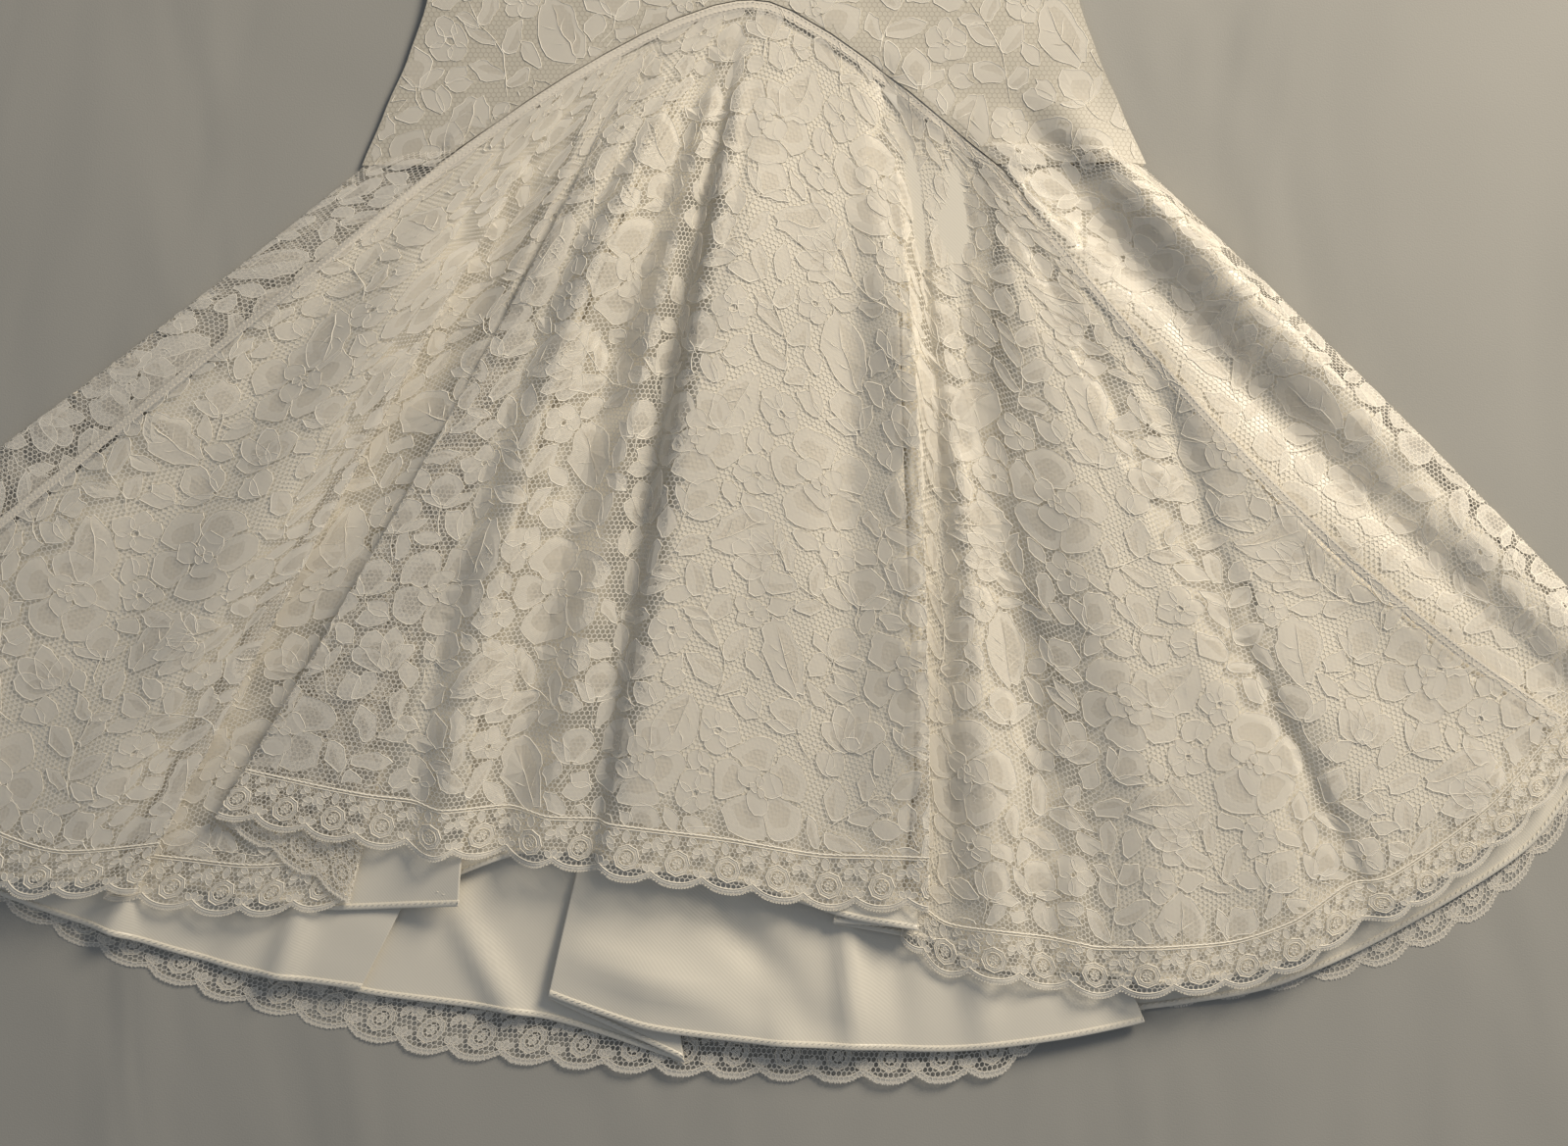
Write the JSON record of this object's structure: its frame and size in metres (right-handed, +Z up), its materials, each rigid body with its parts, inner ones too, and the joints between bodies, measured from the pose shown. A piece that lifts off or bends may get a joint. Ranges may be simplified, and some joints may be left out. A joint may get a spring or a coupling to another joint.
{
  "type": "wedding dress",
  "caption": "Sleeveless trumpet wedding dress of ivory lace over satin, laid flat on its back, with a full lapped flounce under a chevron seam and scalloped lace hems.",
  "frame": {"origin": "on the surface that the dress lies on, below the middle of its bounding box", "axes": "+Z up, away from the surface; +Y along the dress towards the neckline; +X to the right of someone who looks down on its front"},
  "size_m": [1.2817, 1.608, 0.0254],
  "materials": {
    "lace_on_satin": "ivory lace mounted on satin",
    "lace": "ivory cotton-like lace, matt",
    "edging_lace": "ivory scalloped lace edging, matt",
    "satin": "ivory polyester satin, soft sheen",
    "seam_lace": "turned seam of lace, matt",
    "zip_tape": "woven zip tape, matt"
  },
  "bodies": {
    "root": {"front_left": "lace_on_satin", "front_right": "lace_on_satin", "back_left": "lace_on_satin", "back_right": "lace_on_satin", "back_zip": "zip_tape", "flounce_front_lace": "lace", "front_edging": "edging_lace", "flounce_front_lining": "satin", "flounce_back_lace": "lace", "back_edging": "edging_lace", "flounce_back_lining": "satin", "seam_left": "seam_lace", "seam_right": "seam_lace"}
  },
  "joints": []
}
